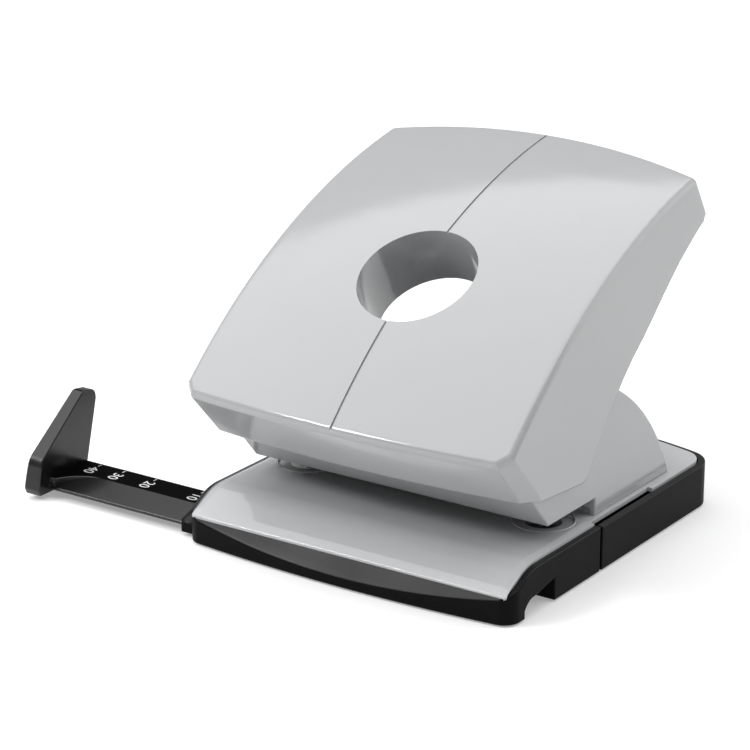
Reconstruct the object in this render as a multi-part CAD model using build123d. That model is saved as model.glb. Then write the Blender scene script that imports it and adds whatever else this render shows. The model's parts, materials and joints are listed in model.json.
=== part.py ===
"""Hand-operated two-hole desk punch with a chip tray and a sliding paper guide.

Millimetres. X runs along the line through both punch pins, Y points to the rear, Z points up.
The origin is on the mid-plane, below the pins, on the surface that the punch stands on.
"""
from build123d import *
from math import atan2, cos, hypot, radians, sin, sqrt
import os

# ---------------------------------------------------------------- punching geometry
hole_spacing = 80.0          # distance between the two punched holes
pin_d = 5.5                  # punch pin
stroke = 7.92                # travel of the pins over the full lever angle
lever_angle = 26.0           # degrees that the lever turns
pivot_z = 38.0               # height of the lever's axle
run_gap = 0.05               # radial clearance of a running fit
fit_gap = 0.1                # gap between pieces that lie side by side in one body
move_gap = 0.3               # gap between pieces that move past each other
edge_break = 0.3             # small chamfer on turned parts

# cutting tools
over = 1.0                   # a cutter reaches this far past what it cuts
far = 200.0                  # beyond the punch on every side
tiny = 1e-3

# ---------------------------------------------------------------- widths, from the pins outwards
head_d = 7.5                 # head of a punch pin
head_side_gap = 0.55         # between a pin's head and the lever's steel arm
arm_t = 1.6                  # side arms of the steel lever frame
flange_t = 1.2               # side flanges of the steel punch frame
tower_wall = 1.7             # cheeks of the tower
lever_side_gap = 0.2         # between the cheeks and the narrowest part inside the lever
lever_wall = 2.2
lever_flare = 2.1            # the lever is wider at its front by this much on each side
lever_inset = 0.5            # the base is wider than the lever by this much on each side
base_wall = 2.0
table_gap = 1.0              # between the table's slab and the base wall
table_inset = 1.8            # from the side of the base to the table's rim

# ---------------------------------------------------------------- levels above the desk
foot_proud = 0.5             # rubber pads stand out of the bottom
floor_t = 1.5                # floors of base moulding and chip tray
table_top = 15.0             # paper table
table_t = 2.2                # slab of the table
steel_t = 1.5                # steel base plate, under the table
rim_t = 1.1                  # thin rim of the table over the base walls
deck_t = 1.4                 # rear deck
tray_wall_drop = 0.7         # the tray's walls end below the deck's top by this much
slot_h = 4.4                 # height of the paper slot
jaw_t = 1.2                  # plastic skin under the jaw
web_t = 1.5                  # jaw web of the steel punch frame

# ---------------------------------------------------------------- base outline
base_front = -39.5           # front corners
front_bow = 3.2              # the front edge bows forward by this much
base_rear = 72.5             # rear corners, before rounding
rear_bow = 8.0
front_corner_r = 5.0
rear_corner_r = 10.0
least_corner_r = 1.0
split_y = 7.1                # rear end of the front moulding
split_gap = 1.0
film_t = 0.5                 # film hinge between the base's halves
film_gap = 0.2
lip_step = 1.2               # the black nose starts below the table's front lip by this much
nose_run = 3.6               # the nose's slanted facet runs forward by this much
nose_fall = 5.6              # while it falls by this much

# ---------------------------------------------------------------- table and deck
table_flat_y = -25.0         # the table is flat behind this line
table_lip_z = 9.4            # top of the table at its front edge
table_bend_r = 16.0          # bend between the flat table and its front slope
table_edge_r = 0.5
ring_d = 18.0                # shallow round recess around each die
ring_depth = 0.4
deck_seam = 0.3              # between the table and the deck
deck_inset = 2.3             # deck edge inside the base outline
deck_step_y = 40.0           # in front of this line the deck is narrower
deck_step = 1.5
window_front = 4.0           # opening under the tower: starts behind the paper slot by this much
tower_seat = 5.0             # the tower's rear stands on this much of the deck
plate_gap = 0.5              # between the steel plate and the rear wall
plate_corner_r = 6.0

# ---------------------------------------------------------------- punch tower
tower_rear = 54.1            # rear foot of the tower
tower_crest_z = 57.0         # highest point of the tower
tower_crest_y = -10.6
tower_top_y = 29.0           # the closed rear wall ends here
tower_wall_t = 1.6
tower_foot = 6.0             # depth of the tower's closed foot
jaw_front = -12.8            # front edge of the jaw
jaw_lean = 1.2               # the slanted strip leans, so it moves in by more than the jaw
jaw_lip = 4.0                # solid front of the jaw
jaw_lip_top = 2.5
web_room = 2.0               # free height over the steel web
slot_back = 12.0             # rear end of the paper slot
strip_top = 8.1              # the front strip ends below the axle by this much
pivot_boss_r = 9.0
boss_side = 194.3            # degrees: foremost part of the boss
boss_top = 150.0             # degrees: where the boss runs into the line to the crest
axle_d = 6.0
axle_end = 0.5               # the axle stands out of its clips by this much
clip_t = 0.8
clip_d = 9.6
clip_mouth = 2.8
web_set_back = 6.0           # the steel web starts behind the jaw's edge by this much
web_back_gap = 1.0
foot_w = 8.0                 # feet of the punch frame on the base plate
foot_t = 1.3
foot_start = 4.5             # the feet start behind the paper slot by this much
foot_length = 29.5
riser_lap = 4.0              # the feet's risers overlap the flanges up to this height over the deck
rivet_d = 3.0
rivet_head_d = 6.0
rivet_head_t = 1.0
rivet_break = 0.6
rivet_end = 5.5              # rivets sit this far from the ends of the feet
rivet_in = 5.0               # and this far inside the flanges' outer sides

# ---------------------------------------------------------------- pins, guides and springs
bar_d = 6.0                  # press bar
bar_tenon_d = 4.0
head_gap = 0.3               # between the press bar and the pins at rest
head_t = 2.0
pin_tip_z = 19.0
pin_notch = 0.8              # depth of the hollow-ground tip
washer_t = 0.8
guide_flange_d = 17.2
guide_flange_t = 0.7
guide_body_d = 11.0
guide_proud = 1.0            # the guide stands above the steel web by this much
die_d = 10.0
spring_wire = 0.7
spring_turns = 5.0
spring_gap = 0.35            # between the pin and its spring

# ---------------------------------------------------------------- lever
lever_front_y = -45.9        # front edge of the top, on the mid-plane
lever_front_z = 46.35
lever_rear_y = 65.7          # rear edge of the top, on the mid-plane
lever_rear_z = 104.87
lever_arc_r = 195.4          # the top follows this arc from the front edge to the rear edge
lever_crown = 3.6            # the top is higher on the mid-plane than at the sides
lever_low_y = -32.3          # lower front edge on the mid-plane
lever_low_z = 31.4
lever_front_sag = 4.0        # the front face is set back at the sides by this much
lever_tip_y = 72.6           # rearmost point on the mid-plane
lever_tip_z = 90.0
lever_rear_sag = 7.6
lever_side_y = 0.8           # low rear corner of the side faces
lever_side_z = 28.6
lever_side_front_y = -28.5
lever_side_r = 5.0
lever_knee_y = 11.5          # above this knee the lower edge rises to the rear lip
lever_knee_z = 43.0
lever_lip_y = 62.9           # front edge of the rear lip's underside
lever_lip_z = 88.1
lever_lip_end_z = 89.4       # and its height below the rear edge
lever_back_bow = 1.8
lever_edge_r = 2.2
lever_corner = 3.5           # flat chamfers at the front corners
lever_rear_r = 2.5
corner_reach = 5.0           # a corner edge's middle is found within this height
top_band = 3.0               # edges this close below the crowned top belong to it
hollow_drop = 12.0           # the hollow is the outer form moved down and back, so that it opens below
barrel_side = 6.0            # the crowned barrel is wider than the lever
barrel_depth = 110.0
barrel_sweep = 120.0         # degrees
cutter_lift = 40.0           # end cutters start above the edge by this much
taper_over = 20.0
groove_w = 0.7
groove_depth = 0.5
hand_hole_d = 35.0
hand_hole_draft = 0.7        # the hole is this much narrower at its lower end
hand_hole_y = -3.6           # centre of the hole on the top
hole_over = 8.0
tube_wall = 2.0
tube_length = 19.0
tube_gap = 1.0               # between the hand hole's tube and the steel web

# ---------------------------------------------------------------- steel lever frame
lever_web_t = 1.6
frame_front_y = -27.0
frame_rear_y = 42.0
arm_eye_front = 6.5          # eye of the arms around the axle
arm_eye_low = 6.2
arm_eye_back = 4.0
arm_eye_bevel = 3.5
bar_seat_back = 6.0          # the arms reach behind the press bar by this much
bar_seat_low = 5.2
bar_seat_bevel = 2.5
bar_seat_step = 1.0
arm_front_depth = 10.1       # depths of the arms below the web
arm_knee_y = 16.0
arm_knee_depth = 21.7
arm_back_y = 28.0
arm_back_depth = 14.8
arm_end_depth = 9.5
lever_screw_d = 3.0
lever_screw_in = 11.0        # the screws sit inside the pins' X by this much
lever_screw_front = 7.0      # and this far from the front end of the web
lever_screw_rear = 6.0       # or from its rear end
lever_post_r = 3.3
post_cover = 1.3             # plastic left above the screw posts
lever_head_d = 5.4
lever_head_t = 1.6
screw_end_gap = 0.5

# ---------------------------------------------------------------- paper guide
guide_set_back = 4.2         # front of the rail behind the base's front corners
rail_w = 17.9
facet_w = 8.3                # width of the rail's slanted face
rail_bottom = 2.6
rail_front_z = 3.6           # front edge of the slanted face
rail_top = 6.2
rail_break = 0.6
guide_shown = 54.3           # length of rail left of the base
guide_in = 34.5              # the guide pushes in by this much
guide_out = 43.5             # and pulls out by this much
rail_end_gap = 0.7           # pushed in, the rail ends this far from the right wall
facet_start = 1.5            # the slanted face starts this far from the stop
facet_run = 13.5             # and has its full width after this length
facet_end_r = 13.0
stop_t = 5.5
stop_top_t = 4.0
stop_lead = 4.1              # the stop's foot stands in front of the rail by this much
stop_foot = 1.0              # and reaches below it by this much
stop_nose = 0.8
stop_nose_h = 1.8
stop_lean = 1.1              # the upright front leans back by this much
stop_upright = 10.5
stop_knee_r = 6.0
stop_h = 26.8
tip_reach = 20.8             # front of the stop's tip behind the foot
tip_w = 5.7
tip_fall = 0.8
tip_depth = 3.7
tip_r = 2.2
collar_w = 4.3               # collar around the rail, on the left wall
collar_t = 1.2
collar_rise = 0.5            # over the rail's front edge
collar_lip = 0.9             # over the rail's top
collar_land = 1.4
collar_back = 0.4
lug_w = 2.0                  # the lug behind the rail is longer than the collar
lug_t = 2.6
lug_head = 1.4
lug_r = 1.5
strap_w = 5.0                # two straps carry the rail from below
strap_left = 4.0
strap_right = 22.2
arch_front = 3.0             # notch in the right wall: set back from the rail's front edge
arch_spring_z = 2.7          # its arch starts at this height
arch_run = 4.9
arch_shoulder = (1.7, 1.9)   # the arch passes through this point, from its start
arch_z = 5.4
arch_rear_z = 7.2

# ---------------------------------------------------------------- detent of the paper guide
detent_pitch = 6.0
detent_x = -18.0
detent_half = 12.0
detent_t = 0.5
leaf_margin = 0.3            # the leaf is lower than the rail by this much at both edges
nose_r = 0.9
nose_out = 0.2               # the nose stands out of the leaf by this much
nose_margin = 0.7
notch_r = 0.8
notch_depth = 0.45
notch_h = 2.4
notch_end = 4.0

# ---------------------------------------------------------------- small hardware
base_screw_in = 16.0         # the screws sit inside the pins' X by this much
screw_to_pad = 3.5
screw_r = 1.5
screw_head_r = 2.8
screw_head_t = 1.8
screw_short = 0.2
boss_r = 4.0                 # bosses of the base moulding around its screws
pad_end = 12.2               # from the side of the base to the ends of the rubber pads
pad_w = 9.0
pad_sink = 0.4               # depth of the pads' seats
pad_corner_r = 3.0
front_pad_edge = 0.6         # from the front moulding's rear end to its pad
rear_pad_edge = 4.0          # from the rear corners of the base to the rear pad

# ---------------------------------------------------------------- derived places
pin_x = hole_spacing / 2
arm_in = pin_x + head_d / 2 + head_side_gap
arm_out = arm_in + arm_t
flange_in = arm_out + move_gap
flange_out = flange_in + flange_t
cheek_in = flange_out + fit_gap
tower_half = cheek_in + tower_wall
lever_half_rear = tower_half + lever_side_gap + lever_wall
lever_half_front = lever_half_rear + lever_flare
base_half = lever_half_front + lever_inset
inner_wall_x = base_half - base_wall
table_slab_half = inner_wall_x - table_gap
table_half = base_half - table_inset

floor_top = foot_proud + floor_t
steel_top = table_top - table_t
steel_z = steel_top - steel_t
deck_top = steel_top + deck_t
wall_z = table_top - rim_t
tray_wall_z = deck_top - tray_wall_drop
nose_z = table_lip_z - lip_step
jaw_z = table_top + slot_h
web_z = jaw_z + jaw_t
web_top = web_z + web_t

bar_arm = stroke / (2 * sin(radians(lever_angle / 2)))
pivot_y = -bar_arm * cos(radians(lever_angle / 2))
bar_z = pivot_z + bar_arm * sin(radians(lever_angle / 2))
pin_top = bar_z - bar_d / 2 - head_gap
guide_top = web_top + guide_proud
spring_top = pin_top - head_t - washer_t
die_r = pin_d / 2 + run_gap

table_front = base_front + fit_gap
tray_y = split_y + split_gap
rail_front = base_front + guide_set_back
rail_rear = rail_front + rail_w
rail_ridge_y = rail_front + facet_w
channel_rear = rail_rear + move_gap
channel_rear_wall = channel_rear + base_wall
facet_slope = (rail_top - rail_front_z) / facet_w
stop_x = -base_half - guide_shown
rail_end_x = inner_wall_x - guide_in - rail_end_gap
front_pad_y = split_y - front_pad_edge - pad_w / 2
rear_pad_y = base_rear - rear_pad_edge - pad_w / 2
pad_half = base_half - pad_end
base_screw_x = pin_x - base_screw_in
base_screw_y = front_pad_y - pad_w / 2 - screw_to_pad

tower_rise = tower_crest_z - deck_top
tower_arc_r = ((tower_rear - tower_crest_y) ** 2 + tower_rise ** 2) / (2 * tower_rise)
tower_arc_z = tower_crest_z - tower_arc_r
foot_front = slot_back + foot_start
foot_rear = foot_front + foot_length

chord_y = lever_rear_y - lever_front_y
chord_z = lever_rear_z - lever_front_z
chord = hypot(chord_y, chord_z)
arc_height = sqrt(lever_arc_r ** 2 - chord ** 2 / 4)
lever_arc_y = (lever_front_y + lever_rear_y) / 2 + arc_height * chord_z / chord
lever_arc_z = (lever_front_z + lever_rear_z) / 2 - arc_height * chord_y / chord
crown_r = (lever_half_front ** 2 + lever_crown ** 2) / (2 * lever_crown)
lever_screw_x = pin_x - lever_screw_in
web_r = lever_arc_r - lever_crown - lever_wall - fit_gap
screw_crown = lever_crown * (lever_screw_x / lever_half_front) ** 2
lever_post_h = lever_arc_r - screw_crown - post_cover - web_r


# ---------------------------------------------------------------- shared shapes
def mid_outline(points):
    """Closed sketch in the YZ plane from (y, z) points."""
    return Plane.YZ * make_face(Polyline(*points, close=True))


def slab_x(sketch, x_from, x_to):
    """Extrude a YZ sketch between two X positions."""
    return Pos(x_from, 0, 0) * extrude(sketch, x_to - x_from)


def block(x, y, z):
    """Box from three (low, high) pairs."""
    size = [high - low for low, high in (x, y, z)]
    centre = [(high + low) / 2 for low, high in (x, y, z)]
    return Pos(*centre) * Box(*size)


def rod_x(y, z, radius, x_from, x_to):
    return Pos(x_from, y, z) * Rot(0, 90, 0) * Cylinder(
        radius, x_to - x_from, align=(Align.CENTER, Align.CENTER, Align.MIN))


def rod_z(x, y, radius, z_from, z_to):
    return Pos(x, y, z_from) * Cylinder(
        radius, z_to - z_from, align=(Align.CENTER, Align.CENTER, Align.MIN))


def both_sides(shape):
    return shape + mirror(shape, Plane.YZ)


def polar(y, z, radius, degrees):
    """Point at an angle around (y, z)."""
    return y + radius * cos(radians(degrees)), z + radius * sin(radians(degrees))


def round_corner(face, point, radius):
    """Fillet the corner of a flat sketch that lies nearest to the point."""
    corner = face.vertices().sort_by_distance((point[0], point[1], 0))[:1]
    return fillet(corner, radius)


def bowed_outline(inset, y_from=-far, y_to=far):
    """Plan of the base, moved inward by inset, between two Y lines."""
    half = base_half - inset
    front, rear = base_front + inset, base_rear - inset
    face = make_face([
        ThreePointArc((-half, front), (0, front - front_bow), (half, front)),
        Line((half, front), (half, rear)),
        ThreePointArc((half, rear), (0, rear + rear_bow), (-half, rear)),
        Line((-half, rear), (-half, front)),
    ])
    face = fillet(face.vertices().sort_by(Axis.Y)[:2], max(front_corner_r - inset, least_corner_r))
    rear_corners = face.vertices().filter_by(lambda v: abs(v.Y - rear) < tiny)
    face = fillet(rear_corners, max(rear_corner_r - inset, least_corner_r))
    return face & Pos(0, (y_from + y_to) / 2) * Rectangle(2 * far, y_to - y_from)


def bend_slope():
    """Angle of the straight front slope, from the table's bend down to its front lip."""
    run, drop = table_flat_y - table_front, table_top - table_lip_z
    reach = hypot(run, drop - table_bend_r)
    return atan2(table_bend_r, sqrt(reach ** 2 - table_bend_r ** 2)) - atan2(table_bend_r - drop, run)


def under_table(offset):
    """Solid below the table's top line, lowered by offset: flat, bend and front slope."""
    slope = bend_slope()
    top = table_top - offset
    mid = (table_flat_y - table_bend_r * sin(slope / 2), top - table_bend_r * (1 - cos(slope / 2)))
    end = (table_flat_y - table_bend_r * sin(slope), top - table_bend_r * (1 - cos(slope)))
    foot = (-far, end[1] - (end[0] + far) * sin(slope) / cos(slope))
    section = make_face([
        Line((base_rear, -2 * far), (base_rear, top)),
        Line((base_rear, top), (table_flat_y, top)),
        ThreePointArc((table_flat_y, top), mid, end),
        Line(end, foot),
        Line(foot, (-far, -2 * far)),
        Line((-far, -2 * far), (base_rear, -2 * far)),
    ])
    return slab_x(Plane.YZ * section, -far, far)


# ---------------------------------------------------------------- base moulding and tray
def rail_section(gap):
    """Section of the paper guide's rail, grown by gap."""
    return mid_outline([
        (rail_front - gap, rail_bottom - gap), (rail_front - gap, rail_front_z + gap * (1 - facet_slope)),
        (rail_ridge_y - gap * facet_slope, rail_top + gap), (rail_rear + gap, rail_top + gap),
        (rail_rear + gap, rail_bottom - gap)])


def make_base_moulding():
    shell = extrude(bowed_outline(0, y_to=split_y), wall_z - foot_proud)
    hollow = extrude(bowed_outline(base_wall, y_from=channel_rear_wall, y_to=split_y + over), wall_z)
    body = Pos(0, 0, foot_proud) * shell - Pos(0, 0, floor_top) * hollow
    body &= under_table(rim_t)
    # the table's slab lies in the top of the nose
    seat_x = table_slab_half + fit_gap
    seat = block((-seat_x, seat_x), (table_front - fit_gap, split_y + over), (0, far))
    body -= seat - under_table(table_t + fit_gap)
    # channel of the paper guide, open below between two straps
    cavity_y = (rail_front - move_gap, channel_rear)
    body -= block((-inner_wall_x, inner_wall_x), cavity_y, (-over, rail_top + move_gap))
    body -= slab_x(rail_section(move_gap), -far, 0)
    body -= slab_x(arch_notch(), 0, far)
    body = nose_facet(body)
    for x in (-base_half + strap_left, inner_wall_x - strap_right):
        body += block((x, x + strap_w), (cavity_y[0] - over, cavity_y[1] + over),
                      (foot_proud, rail_bottom - move_gap))
    body += collar()
    for x in (-base_screw_x, base_screw_x):
        body += rod_z(x, base_screw_y, boss_r, floor_top, steel_z)
        body -= rod_z(x, base_screw_y, screw_r + fit_gap, 0, steel_z + over)
        body -= rod_z(x, base_screw_y, screw_head_r + fit_gap, 0, foot_proud + screw_head_t + fit_gap)
    body -= Pos(detent_x, 0, 0) * detent_leaf(fit_gap)
    return body - pad_box(front_pad_y)


def arch_notch():
    """Side view of the notch in the right wall: an arched front and a rising top."""
    front = rail_front + arch_front
    spring = (front, arch_spring_z)
    shoulder = (front + arch_shoulder[0], arch_spring_z + arch_shoulder[1])
    crown = (front + arch_run, arch_z)
    return Plane.YZ * make_face([
        Line((front, -over), spring),
        ThreePointArc(spring, shoulder, crown),
        Line(crown, (channel_rear, arch_rear_z)),
        Line((channel_rear, arch_rear_z), (channel_rear, -over)),
        Line((channel_rear, -over), (front, -over)),
    ])


def nose_facet(body):
    """Cut the slanted facet that makes the lens-shaped face below the table's front edge."""
    top_y = table_front - fit_gap
    low_y, low_z = top_y - far * nose_run / nose_fall, nose_z - far
    wedge = mid_outline([(top_y, nose_z), (low_y, low_z), (low_y, far), (top_y, far)])
    return body - slab_x(wedge, -far, far)


def collar():
    """Sleeve around the rail's slanted front and a lug behind it, on the left wall."""
    bottom, crest = rail_bottom - move_gap - collar_t, rail_top + collar_lip
    front, back = rail_front - collar_t, rail_ridge_y + collar_back
    x_from, x_to = -base_half - collar_w, -base_half + over
    sleeve = slab_x(mid_outline([
        (front, bottom), (front, rail_front_z + collar_rise), (back - collar_land, crest),
        (back, crest), (back, bottom)]), x_from, x_to)
    lug = block((x_from - lug_w, x_to), (channel_rear, channel_rear + lug_t),
                (foot_proud, rail_top + lug_head))
    lug = fillet(lug.edges().filter_by(Axis.Y).sort_by(Axis.X)[:2].sort_by(Axis.Z)[-1:], lug_r)
    strap = block((x_from, x_to), (rail_front, channel_rear + over), (bottom, bottom + collar_t))
    return sleeve + lug + strap - slab_x(rail_section(move_gap), x_from - over, x_to + over)


def pad_box(y_mid):
    return block((-pad_half, pad_half), (y_mid - pad_w / 2, y_mid + pad_w / 2), (0, foot_proud + pad_sink))


def make_tray():
    outer = extrude(bowed_outline(0, y_from=tray_y), tray_wall_z - foot_proud)
    inner = extrude(bowed_outline(base_wall, y_from=tray_y - over), tray_wall_z)
    body = Pos(0, 0, foot_proud) * outer - Pos(0, 0, floor_top) * inner
    body += block((-inner_wall_x, inner_wall_x), (split_y + film_gap, tray_y + over),
                  (foot_proud, foot_proud + film_t))
    return body - pad_box(rear_pad_y)


# ---------------------------------------------------------------- table, deck and steel plate
def make_table():
    slab = block((-table_slab_half, table_slab_half), (table_front, split_y), (0, far))
    rim = block((-table_half, table_half), (table_front, split_y), (0, far))
    body = (slab - under_table(table_t) + (rim - under_table(rim_t))) & under_table(0)
    for x in (-pin_x, pin_x):
        body -= rod_z(x, 0, ring_d / 2, table_top - ring_depth, table_top + over)
        body -= rod_z(x, 0, die_d / 2 + run_gap, 0, table_top + over)
    front = body.edges().filter_by(Axis.X).sort_by(Axis.Y)[:2].sort_by(Axis.Z)[-1:]
    return fillet(front, table_edge_r)


def make_deck():
    start = split_y + deck_seam
    face = bowed_outline(deck_inset, y_from=start)
    front_half = Pos(0, (start + deck_step_y) / 2)
    length = deck_step_y - start
    kept_w = 2 * (base_half - deck_inset - deck_step)
    face -= front_half * (Rectangle(2 * far, length) - Rectangle(kept_w, length))
    window_y = (slot_back + window_front, tower_rear - tower_seat)
    face -= Pos(0, sum(window_y) / 2) * Rectangle(2 * cheek_in, window_y[1] - window_y[0])
    return Pos(0, 0, steel_top) * extrude(face, deck_t)


def make_base_plate():
    y_low, y_high = channel_rear_wall, base_rear - base_wall - plate_gap
    face = Pos(0, (y_low + y_high) / 2) * Rectangle(2 * flange_out, y_high - y_low)
    plate = Pos(0, 0, steel_z) * extrude(fillet(face.vertices(), plate_corner_r), steel_t)
    for x in (-pin_x, pin_x):
        plate -= rod_z(x, 0, die_d / 2 + run_gap, 0, table_top)
    for x, y in rivet_places():
        plate -= rod_z(x, y, rivet_d / 2 + run_gap, 0, table_top)
    for x in (-base_screw_x, base_screw_x):
        plate -= rod_z(x, base_screw_y, screw_r + run_gap, 0, table_top)
    return plate


def rivet_places():
    x = flange_out - rivet_in
    return [(side * x, y) for side in (-1, 1) for y in (foot_front + rivet_end, foot_rear - rivet_end)]


# ---------------------------------------------------------------- punch tower
def tower_outline(inset):
    """Side view of the tower, moved inward by inset."""
    radius, boss = tower_arc_r - inset, pivot_boss_r - inset
    front, low, back = jaw_front + inset * jaw_lean, jaw_z + inset, slot_back + inset
    foot_z = deck_top + inset
    foot_y = tower_crest_y + sqrt(radius ** 2 - (foot_z - tower_arc_z) ** 2)
    # the slanted front strip is tangent to the boss around the axle
    reach = hypot(front - pivot_y, low - pivot_z)
    tangent = sqrt(reach ** 2 - boss ** 2)
    angle = atan2(pivot_z - low, pivot_y - front) + atan2(boss, tangent)
    touch = (front + tangent * cos(angle), low + tangent * sin(angle))
    leave = polar(pivot_y, pivot_z, boss, boss_top)
    crest = (tower_crest_y, tower_arc_z + radius)
    mid_angle = (atan2(foot_z - tower_arc_z, foot_y - tower_crest_y) + radians(90)) / 2
    arc_mid = (tower_crest_y + radius * cos(mid_angle), tower_arc_z + radius * sin(mid_angle))
    return Plane.YZ * make_face([
        Line((front, low), touch),
        ThreePointArc(touch, polar(pivot_y, pivot_z, boss, boss_side), leave),
        Line(leave, crest),
        ThreePointArc(crest, arc_mid, (foot_y, foot_z)),
        Line((foot_y, foot_z), (back, foot_z)),
        Line((back, foot_z), (back, low)),
        Line((back, low), (front, low)),
    ])


def make_tower():
    """Gray housing: two cheeks, the jaw's underside, the front strip and the curved rear wall."""
    full = slab_x(tower_outline(0), -tower_half, tower_half)
    core = slab_x(tower_outline(0), -cheek_in, cheek_in)
    between = (-cheek_in, cheek_in)
    body = full - (core & slab_x(tower_outline(tower_wall_t), -tower_half, tower_half))
    # between the cheeks it is open above the front strip and in front of the rear wall
    body -= core & block(between, (-far, tower_top_y), (pivot_z - strip_top, far))
    body -= core & block(between, (-far, tower_rear - tower_foot), (0, deck_top + tower_wall_t + fit_gap))
    body -= slab_x(jaw_room(), *between)
    for x in (-pin_x, pin_x):
        body -= rod_z(x, 0, guide_body_d / 2 + run_gap, jaw_z - over, web_top)
    return body - axle_hole()


def axle_hole():
    return rod_x(pivot_y, pivot_z, axle_d / 2 + run_gap, -far, far)


def jaw_room():
    """Space above the thin skin of the jaw, where the steel web lies."""
    rear, top = slot_back + tower_wall_t, web_top + web_room
    return mid_outline([(jaw_front + jaw_lip, web_z), (rear, web_z), (rear, top),
                        (jaw_front + jaw_lip_top, top)])


def make_punch_frame():
    """Steel frame: side flanges, the jaw web that carries the pin guides, and feet."""
    side = slab_x(tower_outline(tower_wall_t + fit_gap), flange_in, flange_out)
    side += block((flange_out - foot_w, flange_out), (foot_front, foot_rear), (steel_top, steel_top + foot_t))
    side += block((flange_in, flange_out), (foot_front, foot_rear), (steel_top, deck_top + riser_lap))
    body = both_sides(side)
    body += block((-flange_out, flange_out), (jaw_front + web_set_back, slot_back - web_back_gap),
                  (web_z + fit_gap, web_top))
    for x in (-pin_x, pin_x):
        body -= rod_z(x, 0, guide_body_d / 2 + run_gap, jaw_z - over, web_top + over)
    for x, y in rivet_places():
        body -= rod_z(x, y, rivet_d / 2 + run_gap, 0, table_top)
    return body - axle_hole()


def make_rivets():
    rivets = []
    for x, y in rivet_places():
        shank = rod_z(x, y, rivet_d / 2, steel_z, steel_top + foot_t)
        head = rod_z(x, y, rivet_head_d / 2, steel_z - rivet_head_t, steel_z)
        dome = rod_z(x, y, rivet_head_d / 2, steel_top + foot_t, steel_top + foot_t + rivet_head_t)
        rivets.append(shank + head + chamfer(dome.edges().sort_by(Axis.Z)[-1:], rivet_break))
    return Compound(children=rivets)


def make_axle():
    end = tower_half + clip_t + axle_end
    axle = rod_x(pivot_y, pivot_z, axle_d / 2, -end, end)
    return chamfer(axle.edges().filter_by(GeomType.CIRCLE), edge_break)


def make_axle_clips():
    clips = []
    for side in (-1, 1):
        inner = side * (tower_half + run_gap)
        low, high = sorted((inner, inner + side * clip_t))
        ring = rod_x(pivot_y, pivot_z, clip_d / 2, low, high)
        ring -= rod_x(pivot_y, pivot_z, axle_d / 2 + run_gap, low - over, high + over)
        mouth = block((low - over, high + over), (pivot_y - clip_d, pivot_y),
                      (pivot_z - clip_mouth / 2, pivot_z + clip_mouth / 2))
        clips.append(ring - mouth)
    return Compound(children=clips)


# ---------------------------------------------------------------- pins, guides, dies and springs
def make_pin(x):
    pin = rod_z(x, 0, pin_d / 2, pin_tip_z, pin_top - head_t)
    pin += rod_z(x, 0, head_d / 2, pin_top - head_t, pin_top)
    return pin - pin_tip_cut(x)


def pin_tip_cut(x):
    """Shallow V across the pin's face, which makes two cutting points."""
    half = pin_d / 2 + over
    low_z = pin_tip_z - pin_notch * half / (pin_d / 2)
    wedge = Plane.XZ * make_face(Polyline(
        (x - half, low_z), (x, pin_tip_z + pin_notch), (x + half, low_z), close=True))
    return extrude(wedge, half, both=True)


def make_washer(x):
    ring = rod_z(x, 0, head_d / 2, spring_top, spring_top + washer_t)
    return ring - rod_z(x, 0, pin_d / 2 + run_gap, spring_top - over, spring_top + washer_t + over)


def make_guide(x):
    body = rod_z(x, 0, guide_flange_d / 2, jaw_z - guide_flange_t, jaw_z)
    body += rod_z(x, 0, guide_body_d / 2, jaw_z, guide_top)
    body -= rod_z(x, 0, pin_d / 2 + run_gap, 0, guide_top + over)
    low_edges = body.edges().filter_by(GeomType.CIRCLE).sort_by(Axis.Z)[:2]
    return chamfer(low_edges.sort_by(SortBy.LENGTH)[-1:], edge_break)


def make_die(x):
    top = table_top - ring_depth
    body = rod_z(x, 0, die_d / 2, steel_z, top)
    return body - rod_z(x, 0, die_r, steel_z - over, top + over)


def make_spring(x):
    """Coil spring around a pin, from the guide up to the pin's washer."""
    low = guide_top + spring_wire / 2 + run_gap
    high = spring_top - spring_wire / 2 - run_gap
    radius = pin_d / 2 + spring_gap + spring_wire / 2
    path = Helix(pitch=(high - low) / spring_turns, height=high - low, radius=radius)
    section = Plane(origin=path @ 0, z_dir=path % 0) * Circle(spring_wire / 2)
    return Pos(x, 0, low) * sweep(section, path=path, is_frenet=True)


# ---------------------------------------------------------------- lever
def crowned_body(inset):
    """Barrel around the lever's arc centre; its skin is crowned across X."""
    half = lever_half_front + barrel_side
    top, across = lever_arc_r - inset, crown_r - inset
    edge = top - across + sqrt(across ** 2 - half ** 2)
    low = lever_arc_r - barrel_depth
    section = Plane.XZ * make_face([
        Line((-half, low), (-half, edge)),
        ThreePointArc((-half, edge), (0, top), (half, edge)),
        Line((half, edge), (half, low)),
        Line((half, low), (-half, low)),
    ])
    return Pos(0, lever_arc_y, lever_arc_z) * revolve(section, Axis.X, barrel_sweep)


def lever_taper(inset):
    """Plan of the lever, narrower to the rear."""
    slope = lever_flare / chord_y
    y_low, y_high = lever_front_y - taper_over, lever_tip_y + taper_over
    half_low = lever_half_front + slope * taper_over - inset
    half_high = half_low - slope * (y_high - y_low)
    face = make_face(Polyline((-half_low, y_low), (half_low, y_low), (half_high, y_high),
                              (-half_high, y_high), close=True))
    return extrude(face, far)


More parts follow.
